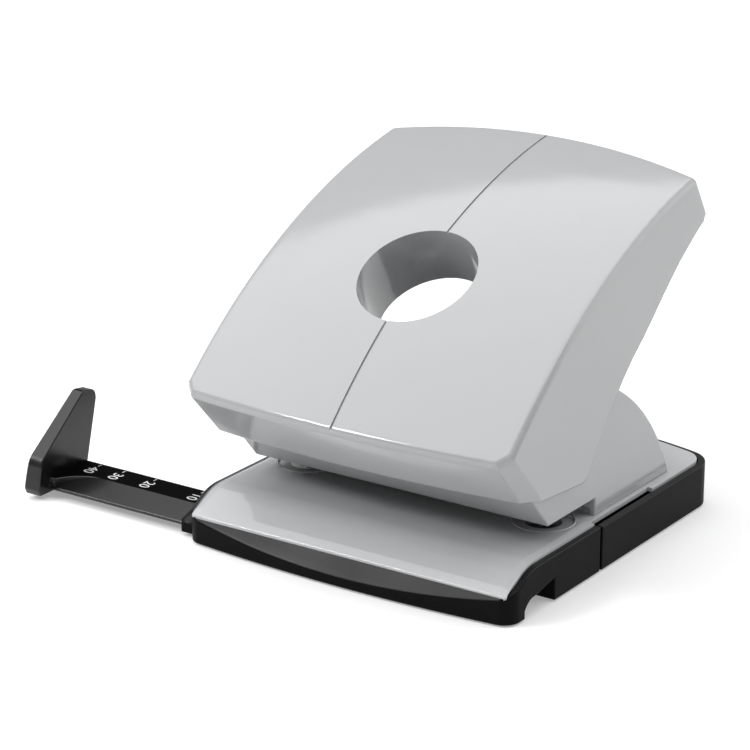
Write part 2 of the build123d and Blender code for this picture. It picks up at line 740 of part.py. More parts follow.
def end_cutter(point, low_point, sag, inset, side):
    """Everything beyond a bowed end face that runs from point down to low_point."""
    lean = (low_point[0] - point[0]) / (point[1] - low_point[1])
    y_edge = point[0] - side * inset * hypot(1, lean) - lean * cutter_lift
    half = lever_half_front + barrel_side
    near = y_edge - side * sag * (half / lever_half_front) ** 2
    beyond = y_edge + side * far
    face = make_face([
        ThreePointArc((-half, near), (0, y_edge), (half, near)),
        Line((half, near), (half, beyond)),
        Line((half, beyond), (-half, beyond)),
        Line((-half, beyond), (-half, near)),
    ])
    return extrude(Pos(0, 0, point[1] + cutter_lift) * face, far, dir=Vector(0, lean, -1))


def lever_underside():
    """Side view of everything above the lever's lower boundary."""
    run, rise = lever_lip_y - lever_knee_y, lever_lip_z - lever_knee_z
    length = hypot(run, rise)
    bow = (lever_knee_y + run / 2 - lever_back_bow * rise / length,
           lever_knee_z + rise / 2 + lever_back_bow * run / length)
    lip_slope = (lever_lip_end_z - lever_lip_z) / (lever_tip_y - lever_lip_y)
    lip_far = (far, lever_lip_z + lip_slope * (far - lever_lip_y))
    low_corner = (lever_side_y, lever_side_z)
    knee, lip = (lever_knee_y, lever_knee_z), (lever_lip_y, lever_lip_z)
    face = make_face([
        Line((-far, lever_low_z), (lever_side_front_y, lever_low_z)),
        Line((lever_side_front_y, lever_low_z), low_corner),
        Line(low_corner, knee),
        ThreePointArc(knee, bow, lip),
        Line(lip, lip_far),
        Line(lip_far, (far, far)),
        Line((far, far), (-far, far)),
        Line((-far, far), (-far, lever_low_z)),
    ])
    return Plane.YZ * round_corner(face, low_corner, lever_side_r)


def lever_form(inset, drop=0.0):
    """Outer form of the lever, moved inward by inset; drop opens it downwards."""
    body = crowned_body(inset) & lever_taper(inset)
    body &= Pos(0, drop, -drop) * slab_x(lever_underside(), -far, far)
    front, front_low = (lever_front_y, lever_front_z), (lever_low_y, lever_low_z)
    rear, rear_low = (lever_rear_y, lever_rear_z), (lever_tip_y, lever_tip_z)
    body -= end_cutter(front, front_low, lever_front_sag, inset, -1)
    body -= end_cutter(rear, rear_low, lever_rear_sag, inset, 1)
    return body


def hand_hole_axis():
    """Plane on the top at the hand hole, with its normal along the hole."""
    dy = hand_hole_y - lever_arc_y
    dz = sqrt(lever_arc_r ** 2 - dy ** 2)
    normal = Vector(0, dy, dz).normalized()
    return Plane(origin=(0, hand_hole_y, lever_arc_z + dz), x_dir=(1, 0, 0), z_dir=normal)


def hole_cone(grow, z_low, z_high):
    """Slightly tapered plug along the hand hole, grown by grow."""
    r_top = hand_hole_d / 2 + grow
    draft = hand_hole_draft / tube_length
    plug = Cone(r_top + z_low * draft, r_top + z_high * draft, z_high - z_low,
                align=(Align.CENTER, Align.CENTER, Align.MIN))
    return hand_hole_axis() * Pos(0, 0, z_low) * plug


def corner_edges(body, z_mid, at_front):
    """The two upright corner edges at one end of the lever."""
    def chosen(edge):
        centre = edge.center()
        at_end = (centre.Y < lever_side_front_y if at_front
                  else centre.Y > lever_lip_y - lever_rear_sag)
        return at_end and abs(centre.X) > tower_half and abs(centre.Z - z_mid) < corner_reach
    return body.edges().filter_by(chosen)


def is_top_edge(edge):
    """True for the edges around the crowned top."""
    centre = edge.center()
    height = hypot(centre.Y - lever_arc_y, centre.Z - lever_arc_z)
    return height > lever_arc_r - lever_crown - top_band


def rounded_lever():
    """Outer form with its corners broken: flat chamfers in front, round corners at the rear."""
    body = lever_form(0)
    front_z = (lever_front_z + lever_low_z) / 2
    body = chamfer(corner_edges(body, front_z, True), lever_corner)
    rear_z = (lever_rear_z + lever_lip_end_z) / 2
    body = fillet(corner_edges(body, rear_z, False), lever_rear_r)
    return fillet(body.edges().filter_by(is_top_edge), lever_edge_r)


def make_lever_shell():
    outer = rounded_lever()
    body = outer - lever_form(lever_wall, drop=hollow_drop)
    body += hole_cone(tube_wall, -tube_length, over) & outer
    body -= hole_cone(0, -tube_length - over, hole_over)
    for post in lever_posts(lever_post_r, 0):
        body += post & outer
    for hole in lever_posts(lever_screw_d / 2 + run_gap, over):
        body -= hole
    slot = block((-groove_w / 2, groove_w / 2), (-far, far), (0, far))
    return body - (slot - crowned_body(groove_depth))


def lever_screw_places():
    return [web_plane(x, y) for x in (-lever_screw_x, lever_screw_x)
            for y in (frame_front_y + lever_screw_front, frame_rear_y - lever_screw_rear)]


def lever_posts(radius, extra):
    """Round posts between the shell's inner side and the steel web, longer below by extra."""
    return [place * Pos(0, 0, -extra) * Cylinder(
        radius, lever_post_h + extra, align=(Align.CENTER, Align.CENTER, Align.MIN))
        for place in lever_screw_places()]


# ---------------------------------------------------------------- steel lever frame
def web_height(y):
    """Z of the web's outer side at y."""
    return lever_arc_z + sqrt(web_r ** 2 - (y - lever_arc_y) ** 2)


def web_plane(x, y):
    """Plane on the outer side of the steel web at (x, y), with its normal pointing up."""
    z = web_height(y)
    normal = Vector(0, y - lever_arc_y, z - lever_arc_z).normalized()
    return Plane(origin=(x, y, z), x_dir=(1, 0, 0), z_dir=normal)


def arm_outline():
    """Side view of the lever frame's arms: from the pivot past the press bar up to the web."""
    return mid_outline([
        (pivot_y - arm_eye_front, pivot_z - run_gap), (pivot_y - arm_eye_bevel, pivot_z - arm_eye_low),
        (pivot_y + arm_eye_back, pivot_z - arm_eye_low),
        (bar_seat_back - bar_seat_bevel, bar_z - bar_seat_low), (bar_seat_back, bar_z - bar_seat_step),
        (arm_knee_y, web_height(arm_knee_y) - arm_knee_depth),
        (arm_back_y, web_height(arm_back_y) - arm_back_depth),
        (frame_rear_y, web_height(frame_rear_y) - arm_end_depth), (frame_rear_y, far),
        (frame_front_y, far), (frame_front_y, web_height(frame_front_y) - arm_front_depth)])


def make_lever_frame():
    disc = rod_x(lever_arc_y, lever_arc_z, web_r, -arm_out, arm_out)
    core = rod_x(lever_arc_y, lever_arc_z, web_r - lever_web_t, -far, far)
    form = slab_x(arm_outline(), -arm_out, arm_out) & disc
    body = form - block((-arm_in, arm_in), (-far, far), (0, far)) + (form - core)
    body -= hole_cone(tube_wall + tube_gap, -tube_length - over, hole_over)
    for hole in lever_posts(lever_screw_d / 2 + run_gap, lever_web_t + lever_head_t):
        body -= hole
    return body - axle_hole() - rod_x(0, bar_z, bar_tenon_d / 2 + run_gap, -far, far)


def make_press_bar():
    bar = rod_x(0, bar_z, bar_d / 2, -arm_in, arm_in)
    return bar + rod_x(0, bar_z, bar_tenon_d / 2, -arm_out, arm_out)


def make_lever_screws():
    up = (Align.CENTER, Align.CENTER, Align.MIN)
    head_top = -lever_web_t - run_gap
    shank_length = lever_web_t + lever_post_h - screw_end_gap
    return Compound(children=[
        place * Pos(0, 0, head_top - lever_head_t) * Cylinder(lever_head_d / 2, lever_head_t, align=up)
        + place * Pos(0, 0, head_top) * Cylinder(lever_screw_d / 2, shank_length, align=up)
        for place in lever_screw_places()])


# ---------------------------------------------------------------- paper guide
def stop_outline():
    """Side view of the stop: upright front foot, slanted front edge, round tip, leaning back edge."""
    front, low = rail_front - stop_lead, rail_bottom - stop_foot
    knee = (front + stop_lean, low + stop_upright)
    tip = (front + tip_reach, low + stop_h)
    tip_back = (tip[0] + tip_w, tip[1] - tip_fall)
    face = make_face(Polyline(
        (front, low), (front - stop_nose, low + stop_nose_h), knee, tip, tip_back,
        (tip_back[0] + edge_break, tip[1] - tip_depth), (rail_rear, rail_top), (rail_rear, low), close=True))
    face = round_corner(face, tip, tip_r)
    return Plane.YZ * round_corner(face, knee, stop_knee_r)


def make_stop():
    """Upright stop, thinner towards its tip."""
    outer, top_z = stop_x - stop_t, rail_bottom - stop_foot + stop_h
    lean = make_face(Polyline(
        (outer - over, 0), (outer, rail_top), (stop_x - stop_top_t, top_z), (stop_x - stop_top_t, far),
        (outer - over, far), close=True))
    return slab_x(stop_outline(), outer, stop_x) - extrude(Plane.XZ * lean, far, both=True)


def make_paper_guide():
    rail = slab_x(mid_outline([
        (rail_front, rail_bottom), (rail_front, rail_top - rail_break), (rail_front + rail_break, rail_top),
        (rail_rear, rail_top), (rail_rear, rail_bottom)]), stop_x - over, rail_end_x)
    front, top = rail_front - over, rail_top + over
    wedge = mid_outline([(front, rail_front_z - over * facet_slope), (rail_ridge_y, rail_top),
                         (rail_ridge_y, top), (front, top)])
    begin, end = stop_x + facet_start, rail_end_x + over
    plan = make_face([
        Line((end, rail_ridge_y), (begin + facet_run, rail_ridge_y)),
        RadiusArc((begin + facet_run, rail_ridge_y), (begin, front), -facet_end_r),
        Line((begin, front), (end, front)),
        Line((end, front), (end, rail_ridge_y))])
    body = rail - (slab_x(wedge, -far, far) & extrude(plan, far)) + make_stop()
    for step in range(int((guide_in + guide_out) / detent_pitch)):
        x = rail_end_x - notch_end - step * detent_pitch
        body -= rod_z(x, rail_rear + notch_r - notch_depth, notch_r, 0, rail_bottom + notch_h)
    return body


def detent_leaf(gap):
    """Leaf of the detent spring in the channel's rear wall, grown by gap."""
    return block((-detent_half - gap, detent_half + gap), (channel_rear - gap, channel_rear + detent_t + gap),
                 (rail_bottom + leaf_margin - gap, rail_top - leaf_margin + gap))


def make_detent_spring():
    """Leaf spring with a round nose that feels for the rail's notches."""
    nose = rod_z(0, channel_rear + nose_r - nose_out, nose_r,
                 rail_bottom + nose_margin, rail_top - nose_margin)
    nose -= block((-nose_r, nose_r), (channel_rear + run_gap, far), (0, far))
    return Pos(detent_x, 0, 0) * (detent_leaf(0) + nose)


# ---------------------------------------------------------------- small hardware
def make_pad(y_mid):
    return fillet(pad_box(y_mid).edges().filter_by(Axis.Z), pad_corner_r)


def make_base_screws():
    shank_z = foot_proud + screw_head_t
    return Compound(children=[
        rod_z(x, base_screw_y, screw_head_r, foot_proud, shank_z)
        + rod_z(x, base_screw_y, screw_r, shank_z, steel_top - screw_short)
        for x in (-base_screw_x, base_screw_x)])


parts = {
    "base_moulding": make_base_moulding,
    "chip_tray": make_tray,
    "paper_table": make_table,
    "rear_deck": make_deck,
    "steel_base_plate": make_base_plate,
    "punch_tower": make_tower,
    "punch_frame": make_punch_frame,
    "frame_rivets": make_rivets,
    "pivot_axle": make_axle,
    "axle_clips": make_axle_clips,
    "lever_shell": make_lever_shell,
    "lever_frame": make_lever_frame,
    "press_bar": make_press_bar,
    "lever_screws": make_lever_screws,
    "paper_guide": make_paper_guide,
    "detent_spring": make_detent_spring,
    "base_screws": make_base_screws,
    "front_pad": lambda: make_pad(front_pad_y),
    "rear_pad": lambda: make_pad(rear_pad_y),
}
for side, x in (("left", -pin_x), ("right", pin_x)):
    parts["punch_pin_" + side] = lambda x=x: make_pin(x)
    parts["spring_washer_" + side] = lambda x=x: make_washer(x)
    parts["pin_guide_" + side] = lambda x=x: make_guide(x)
    parts["die_" + side] = lambda x=x: make_die(x)
    parts["return_spring_" + side] = lambda x=x: make_spring(x)

os.makedirs("parts", exist_ok=True)
for name, maker in parts.items():
    export_step(maker(), "parts/" + name + ".step")
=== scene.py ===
"""Finishes, small forms and the studio of a hand-operated two-hole desk punch.

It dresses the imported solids, which come in at the top, in their own places. Metres, X along the
line through both pins, Y to the rear, Z up.
"""

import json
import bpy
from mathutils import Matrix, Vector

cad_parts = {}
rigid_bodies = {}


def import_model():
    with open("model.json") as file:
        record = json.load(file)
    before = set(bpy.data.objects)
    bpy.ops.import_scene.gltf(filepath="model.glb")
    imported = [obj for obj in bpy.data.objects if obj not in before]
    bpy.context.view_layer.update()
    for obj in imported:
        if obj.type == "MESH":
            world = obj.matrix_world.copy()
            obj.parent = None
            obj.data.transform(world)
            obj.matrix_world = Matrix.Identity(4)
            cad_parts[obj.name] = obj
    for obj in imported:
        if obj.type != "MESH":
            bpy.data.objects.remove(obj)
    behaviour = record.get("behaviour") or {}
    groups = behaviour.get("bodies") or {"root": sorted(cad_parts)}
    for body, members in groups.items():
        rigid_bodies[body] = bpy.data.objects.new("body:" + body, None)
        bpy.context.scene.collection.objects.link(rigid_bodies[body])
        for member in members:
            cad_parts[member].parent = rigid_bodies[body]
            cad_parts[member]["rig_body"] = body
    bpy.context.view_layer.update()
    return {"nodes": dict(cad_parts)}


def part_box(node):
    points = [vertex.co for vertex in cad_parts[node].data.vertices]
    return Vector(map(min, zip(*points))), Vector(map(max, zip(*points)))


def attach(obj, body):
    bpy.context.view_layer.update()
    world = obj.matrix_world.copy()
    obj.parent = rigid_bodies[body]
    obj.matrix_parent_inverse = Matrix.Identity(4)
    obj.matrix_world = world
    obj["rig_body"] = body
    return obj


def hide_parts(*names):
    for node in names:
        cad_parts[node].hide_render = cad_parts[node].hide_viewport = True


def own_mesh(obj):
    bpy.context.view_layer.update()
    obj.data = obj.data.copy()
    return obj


bl_info = {
    "name": "Two-hole desk punch",
    "version": (1, 0, 0),
    "blender": (4, 5, 0),
    "location": "3D View > Sidebar > Desk punch",
    "description": "Dresses a desk punch: housings, table, base, guide, steel pieces and studio",
    "category": "Object",
}

from math import radians

import bmesh
import bpy
from bpy.props import FloatProperty, FloatVectorProperty, PointerProperty
from bpy.types import Operator, Panel, PropertyGroup
from mathutils import Matrix, Vector

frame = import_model()

# What counts as an edge, a face or a wall
SHARP = radians(28)          # edges that turn by more than this are moulded with a small radius
CREASE = radians(13)         # edges that turn by more than this stay crisp on the black pieces
SAME_PLANE = radians(.02)    # faces that turn by less than this are one flat face
MERGE = 2e-6                 # vertices this close are one
UPRIGHT = .35                # faces whose normals rise less than this are upright walls
# The rail's flat top found by this limit takes a deeper black: painted shade.
FLAT_TOP = .995              # faces whose normals rise more than this are the rail's flat top
EVEN_WEIGHT = 80             # how far large faces lead the shading at their edges

# Lever, as it stands at rest
HAND_HOLE = Vector((0, -.0036, .078))         # a point on the hand hole's axis
HAND_HOLE_AXIS = Vector((0, .515, -.857))
HAND_HOLE_REACH = .0205                       # the hole and its rim lie this close to the axis
GROOVE_REACH = .0006                          # the centre groove lies this close to the middle
WALL_FOOT = Vector((0, .61, -.79))            # the way the side walls' lower edge faces
FOOT_FACING = .9                              # faces of that edge look this much its way
WALL_INSIDE = .049                            # the side walls lie outside this
DROP_START, DROP_END = .022, .034             # Y where their extra depth starts and is full
LIP_LEAN, LIP_FOOT = .39, .0885               # forward lean of the rear face above this height
CORNER_START, CORNER_END = .046, .0645        # Y where the lip's reach starts and is full
CORNER_INSIDE, CORNER_OUTSIDE = .03, .051     # X where the lip's reach starts and is full
CORNER_TOP, CORNER_FOOT = .101, .0895         # Z where the lip's reach starts and is full
LIP_EDGE_Y, LIP_EDGE_Z, LIP_EDGE_X = .0645, .0905, .0502    # limits of the lip's lower edge
LIP_ZONE_Y, LIP_ZONE_Z = .0625, .0925                       # limits of the lip as a whole

# Table
PIN_REACH = .040             # each die stands this far from the middle
RING_REACH = .0095           # the shallow ring around a die lies this close to its centre
FRONT_RIM = .88              # width of the front rim as a share of the side rims
BEAD_SIDES, BEAD_STEPS = 10, 64    # sides of the bead's section, and steps around the die

# Sleeve around the guide's rail
SLEEVE_BACK = -.25           # rail faces whose normals have a larger Y than this stay bare
SLEEVE_END_FACING = .5       # and so do those that look along the rail more than this
SLEEVE_SPREAD_Y, SLEEVE_SPREAD_Z = -.5, .8    # the way its wall grows outwards
SLEEVE_FOOT = .003           # below this height the wall grows only forwards

# Paper guide
TIP_HEIGHT, TIP_DEPTH = .0022, .001           # the stop's rear tip lies in this corner
ALONG_X = .9                                  # edges this parallel to X run across the stop
RAIL_TOP = .0062                              # height of the rail's flat top
NUMBER_ROW, TICK_ROW = -.0232, -.0190         # Y of the printed numbers and ticks
TICK_WIDTH, TICK_LENGTH = .0003, .0016
MARKS = ((-.1026, "40"), (-.0934, "30"), (-.0816, "20"), (-.0640, "10"))

# Studio
CENTRE = (0, .01, .05)                        # the lamps look here
KEY_PLACE, KEY_TARGET, KEY_TURN = (-.555, -.142, 1.35), (-.555, -.142, 0), radians(43.6)
FLOOR_HALF = 4                                # half of the floor's side
FAR_LIFT, LIFT_START, LIFT_END = .95, .7, 2   # floor lift far away, and where it starts and ends
SKY_START, SKY_END = .3, .8                   # rise of a direction where the sky starts and ends
CAMERA_PLACE = (.4220, -.6410, .3167)
CAMERA_TURN = (radians(90 - 19.20), 0, radians(34.365))
CAMERA_LENS, CAMERA_SENSOR = 139.63, 36       # millimetres


# ---------------------------------------------------------------- sizes and colours
def length(name, description, default):
    """A size that a user can change."""
    return FloatProperty(name=name, description=description, default=default, unit="LENGTH",
                         min=0, precision=5)


def share(name, description, default, top=1.0):
    """A roughness or strength that a user can change."""
    return FloatProperty(name=name, description=description, default=default, subtype="FACTOR",
                         min=0, max=top)


def power(name, description, default):
    """A lamp's power that a user can change."""
    return FloatProperty(name=name, description=description, default=default, subtype="POWER",
                         min=0)


def colour(name, description, default):
    """A colour that a user can change."""
    return FloatVectorProperty(name=name, description=description, subtype="COLOR", size=3, min=0,
                               max=1, default=default)


class PunchSizes(PropertyGroup):
    """Edge radii and small forms, in metres."""
    lip_edge: length("Lip edge", "Radius of the rear lip's lower edge", .0013)
    lip_corner: length("Lip corner", "The rear lip's corners reach back by this much", .0019)
    skirt_drop: length("Skirt drop", "Extra depth of the lever's side walls at the rear", .0014)
    housing_edge: length("Housing edge", "Radius of the lever's and tower's edges", .0004)
    rim_width: length("Table rim width", "Width of the table's sloping rim", .0023)
    rim_fall: length("Table rim fall", "The table's rim falls by this much", .0007)
    rim_blend: length("Table rim blend", "Width of the blend between table and rim", .0004)
    ring_radius: length("Ring radius", "Radius of the fine bead around each die", .0088)
    ring_edge: length("Ring edge", "Radius at the rings around the dies", .00025)
    table_edge: length("Table edge", "Radius of the paper table's edges", .0006)
    base_edge: length("Base edge", "Radius of the base's edges", .0003)
    tip_edge: length("Tip edge", "Radius of the paper stop's tip", .0016)
    guide_edge: length("Guide edge", "Radius of the paper guide's edges", .0003)
    sleeve_start: length("Sleeve start", "Distance of the sleeve's outer end", .0584)
    sleeve_end: length("Sleeve end", "Distance of the sleeve's inner end", .0545)
    sleeve_gap: length("Sleeve gap", "Air between the rail and its sleeve", .00015)
    sleeve_wall: length("Sleeve wall", "Thickness of the sleeve around the rail", .0016)
    small_edge: length("Small edge", "Radius of small pieces' edges", .00012)
    mark_height: length("Mark height", "Height of the numbers on the paper guide", .0049)
    mark_relief: length("Mark relief", "Thickness of the printed marks", .00003)


class PunchFinish(PropertyGroup):
    """Colours and roughness of the materials."""
    housing: colour("Housing", "Gray plastic of lever and tower", (.430, .435, .442))
    table: colour("Table", "Gray plastic of the paper table", (.560, .567, .580))
    # The deck's gray is lighter than the housing gray of the same plastic: painted light on the
    # deck.
    deck: colour("Deck", "Satin gray of the deck behind the tower, lightened as painted light", (.62, .63, .645))
    base: colour("Base", "Black plastic of the base", (.006, .006, .0062))
    guide: colour("Guide", "Black plastic of the paper guide", (.005, .005, .0052))
    # The base walls' black is darker than the base black, for upright faces only: painted shade.
    wall: colour("Base walls", "Darker, duller black of the base's upright faces, painted shade", (.0042, .0042, .0043))
    # The rail top's deeper black paints the dark that its flat top reflects: painted shade.
    rail: colour("Rail top", "Deeper black of the rail's flat top, painted shade", (.0008, .0008, .0008))
    marks: colour("Marks", "Printed marks of the paper guide", (.80, .80, .80))
    zinc: colour("Zinc", "Zinc-plated steel", (.58, .60, .62))
    steel: colour("Steel", "Ground and polished steel", (.66, .66, .67))
    rubber: colour("Rubber", "Rubber pads", (.022, .022, .022))
    housing_roughness: share("Housing roughness", "Roughness of the gray housings", .13)
    table_roughness: share("Table roughness", "Roughness of the paper table", .09)
    base_roughness: share("Base roughness", "Roughness of the black base", .34)
    guide_roughness: share("Guide roughness", "Roughness of the paper guide", .24)


class PunchStudio(PropertyGroup):
    """Lamps, surrounding light and floor."""
    key: power("Key light", "Power of the large soft lamp above", 28.0)
    side: power("Side light", "Power of the soft lamp on the right", 4.4)
    front: power("Front light", "Power of the soft lamp in front", 4.6)
    rear: power("Rear light", "Power of the soft lamp behind", 2.6)
    high_sky: share("Light from above", "Strength of the surrounding light high up", .27, 2)
    low_sky: share("Light from the horizon", "Strength of the surrounding light low down", .30, 2)
    floor: colour("Floor", "Plain pale floor", (.80, .80, .80))
    floor_lift: share("Floor lift", "Light that the floor adds to its own picture", .30)


# ---------------------------------------------------------------- shader groups
def surface_group(name, *more_inputs):
    """A new group that puts out a surface's colour, roughness and relief."""
    tree = bpy.data.node_groups.new(name, "ShaderNodeTree")
    for label, kind in (*more_inputs, ("Smooth", "NodeSocketFloat"),
                        ("Rough", "NodeSocketFloat"), ("Colour", "NodeSocketColor")):
        tree.interface.new_socket(label, in_out="INPUT", socket_type=kind)
    for label, kind in (("Colour", "NodeSocketColor"), ("Roughness", "NodeSocketFloat"),
                        ("Relief", "NodeSocketFloat")):
        tree.interface.new_socket(label, in_out="OUTPUT", socket_type=kind)
    return tree, tree.nodes.new("NodeGroupInput"), tree.nodes.new("NodeGroupOutput")


def noise(tree, scale, detail, stretch=(1, 1, 1)):
    """Noise on Object coordinates, stretched along the axes."""
    place = tree.nodes.new("ShaderNodeTexCoord")
    mapping = tree.nodes.new("ShaderNodeMapping")
    mapping.inputs["Scale"].default_value = stretch
    texture = tree.nodes.new("ShaderNodeTexNoise")
    texture.inputs["Detail"].default_value = detail
    if isinstance(scale, bpy.types.NodeSocket):
        tree.links.new(scale, texture.inputs["Scale"])
    else:
        texture.inputs["Scale"].default_value = scale
    tree.links.new(place.outputs["Object"], mapping.inputs["Vector"])
    tree.links.new(mapping.outputs["Vector"], texture.inputs["Vector"])
    return texture.outputs["Fac"]


def spread(tree, value, low, high, from_low=.3, from_high=.7):
    """The value, spread from low to high."""
    node = tree.nodes.new("ShaderNodeMapRange")
    node.inputs["From Min"].default_value = from_low
    node.inputs["From Max"].default_value = from_high
    for end, label in ((low, "To Min"), (high, "To Max")):
        if isinstance(end, bpy.types.NodeSocket):
            tree.links.new(end, node.inputs[label])
        else:
            node.inputs[label].default_value = end
    tree.links.new(value, node.inputs["Value"])
    return node.outputs["Result"]


def combined(tree, operation, first, second):
    """Two values put together by a Math node."""
    node = tree.nodes.new("ShaderNodeMath")
    node.operation = operation
    tree.links.new(first, node.inputs[0])
    tree.links.new(second, node.inputs[1])
    return node.outputs[0]


def wire_surface(tree, given, out, relief, patches, tones, darkest, lightest):
    """Puts out the relief, the roughness over the patches and the colour over the tones."""
    tree.links.new(relief, out.inputs["Relief"])
    tree.links.new(spread(tree, patches, given.outputs["Smooth"], given.outputs["Rough"]),
                   out.inputs["Roughness"])
    tone = tree.nodes.new("ShaderNodeHueSaturation")
    tree.links.new(given.outputs["Colour"], tone.inputs["Color"])
    tree.links.new(spread(tree, tones, darkest, lightest), tone.inputs["Value"])
    tree.links.new(tone.outputs["Color"], out.inputs["Colour"])


def moulded_surface():
    """Fine spark-eroded grain of moulded plastic, with a slow change of gloss and tone."""
    if "moulded surface" in bpy.data.node_groups:
        return bpy.data.node_groups["moulded surface"]
    tree, given, out = surface_group("moulded surface", ("Grain Scale", "NodeSocketFloat"))
    wire_surface(tree, given, out,
                 relief=noise(tree, scale=given.outputs["Grain Scale"], detail=2),
                 patches=noise(tree, scale=42, detail=3),
                 tones=noise(tree, scale=65, detail=2), darkest=.993, lightest=1.005)
    return tree


def rolled_surface():
    """Fine lines of rolled or ground steel along X, with faint clouds of the plating."""
    if "rolled surface" in bpy.data.node_groups:
        return bpy.data.node_groups["rolled surface"]
    tree, given, out = surface_group("rolled surface")
    clouds = noise(tree, scale=120, detail=4)
    wire_surface(tree, given, out,
                 relief=noise(tree, scale=900, detail=3, stretch=(.05, 1, 1)),
                 patches=clouds, tones=clouds, darkest=.90, lightest=1.06)
    return tree


# ---------------------------------------------------------------- materials
def new_material(name):
    """A new material with its node tree and its shader."""
    material = bpy.data.materials.new(name)
    material.use_nodes = True
    return material, material.node_tree, material.node_tree.nodes["Principled BSDF"]


def rgba(value):
    """An opaque colour."""
    return (*value, 1)


def surfaced(name, skin, tint, roughness, spread_by, relief):
    """A material whose colour, roughness and relief come from a surface group."""
    material, tree, shader = new_material(name)
    surface = tree.nodes.new("ShaderNodeGroup")
    surface.node_tree = skin
    surface.inputs["Colour"].default_value = rgba(tint)
    surface.inputs["Smooth"].default_value = roughness - spread_by / 2
    surface.inputs["Rough"].default_value = roughness + spread_by / 2
    bump = tree.nodes.new("ShaderNodeBump")
    bump.inputs["Strength"].default_value = 1
    bump.inputs["Distance"].default_value = relief
    tree.links.new(surface.outputs["Relief"], bump.inputs["Height"])
    tree.links.new(surface.outputs["Colour"], shader.inputs["Base Color"])
    tree.links.new(surface.outputs["Roughness"], shader.inputs["Roughness"])
    tree.links.new(bump.outputs["Normal"], shader.inputs["Normal"])
    return material, surface, shader


def plastic(name, tint, roughness, spread_by, grain, relief, reflect=.5):
    """Moulded plastic with grain."""
    if name in bpy.data.materials:
        return bpy.data.materials[name]
    material, surface, shader = surfaced(name, moulded_surface(), tint, roughness, spread_by,
                                         relief)
    surface.inputs["Grain Scale"].default_value = grain
    shader.inputs["Specular IOR Level"].default_value = reflect
    return material


def steel(name, tint, roughness, spread_by):
    """Steel with rolling lines."""
    if name in bpy.data.materials:
        return bpy.data.materials[name]
    material, _, shader = surfaced(name, rolled_surface(), tint, roughness, spread_by,
                                   relief=.000004)
    shader.inputs["Metallic"].default_value = 1
    return material


def housing_plastic(scene):
    """Polished gray plastic of lever and tower."""
    finish = scene.punch_finish
    return plastic("housing plastic", finish.housing, finish.housing_roughness, spread_by=.02,
                   grain=2600, relief=.000003, reflect=.75)


def table_plastic(scene):
    """High-gloss gray plastic of the paper table."""
    finish = scene.punch_finish
    return plastic("table plastic", finish.table, finish.table_roughness, spread_by=.02,
                   grain=2200, relief=.000002)


def deck_plastic_painted_light(scene):
    """Satin gray plastic of the deck, its gray made lighter than the housing gray to paint the
    light that falls on the deck.
    """
    return plastic("deck plastic", scene.punch_finish.deck, .36, spread_by=.04, grain=2400,
                   relief=.000006)


def base_plastic(scene):
    """Black plastic on the base's facets and ledges."""
    finish = scene.punch_finish
    return plastic("base plastic", finish.base, finish.base_roughness, spread_by=.06, grain=2600,
                   relief=.000014, reflect=.24)


def wall_plastic_painted_shade(scene):
    """Duller black plastic on the base's upright walls; its darker tint is painted shade on these
    walls.
    """
    return plastic("wall plastic", scene.punch_finish.wall, .46, spread_by=.06, grain=1900,
                   relief=.00002, reflect=.06)


def rail_top_painted_shade(scene):
    """Deeper black on the rail's flat top, with little reflection: painted shade standing in for
    the dark that the top reflects.
    """
    return plastic("rail plastic", scene.punch_finish.rail, .5, spread_by=.06, grain=1900,
                   relief=.00001, reflect=.02)


def guide_plastic(scene):
    """Satin black plastic of the paper guide."""
    finish = scene.punch_finish
    return plastic("guide plastic", finish.guide, finish.guide_roughness, spread_by=.04,
                   grain=2600, relief=.000008, reflect=.55)


def printing_ink(scene):
    """Pale ink of the guide's marks."""
    return plastic("printed marks", scene.punch_finish.marks, .5, spread_by=.06, grain=4000,
                   relief=.000004)


def rubber_skin(scene):
    """Matt black rubber."""
    return plastic("rubber", scene.punch_finish.rubber, .78, spread_by=.1, grain=1800,
                   relief=.00003, reflect=.3)


def zinc_steel(scene):
    """Zinc-plated sheet steel."""
    return steel("zinc steel", scene.punch_finish.zinc, .36, spread_by=.12)


def bright_steel(scene):
    """Ground and polished steel."""
    return steel("bright steel", scene.punch_finish.steel, .2, spread_by=.08)


# ---------------------------------------------------------------- forms
def merged_copy(node):
    """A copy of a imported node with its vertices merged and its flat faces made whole."""
    form = bmesh.new()
    form.from_mesh(frame["nodes"][node].data)
    bmesh.ops.remove_doubles(form, verts=form.verts, dist=MERGE)
    bmesh.ops.dissolve_limit(form, angle_limit=SAME_PLANE, verts=form.verts, edges=form.edges)
    return form


def middle(edge):
    """The middle of an edge."""
    return (edge.verts[0].co + edge.verts[1].co) / 2


def ramp(value, start, end):
    """0 at start, 1 at end, and straight between them."""
    return min(max((value - start) / (end - start), 0), 1)


def ease(value, start, end):
    """0 at start, 1 at end, and smooth between them."""
    way = ramp(value, start, end)
    return way * way * (3 - 2 * way)


def cut(form, place, across, clear_outer=False):
    """Cuts the form along a plane, and clears what lies past it if asked."""
    bmesh.ops.bisect_plane(form, geom=form.verts[:] + form.edges[:] + form.faces[:],
                           plane_co=place, plane_no=across, clear_outer=clear_outer)


def even_region(start):
    """The faces that join the start face without a sharp edge."""
    region, reached = {start}, [start]
    while reached:
        for edge in reached.pop().edges:
            for face in edge.link_faces:
                if face not in region and edge.calc_face_angle(0) < SHARP:
                    region.add(face)
                    reached.append(face)
    return region


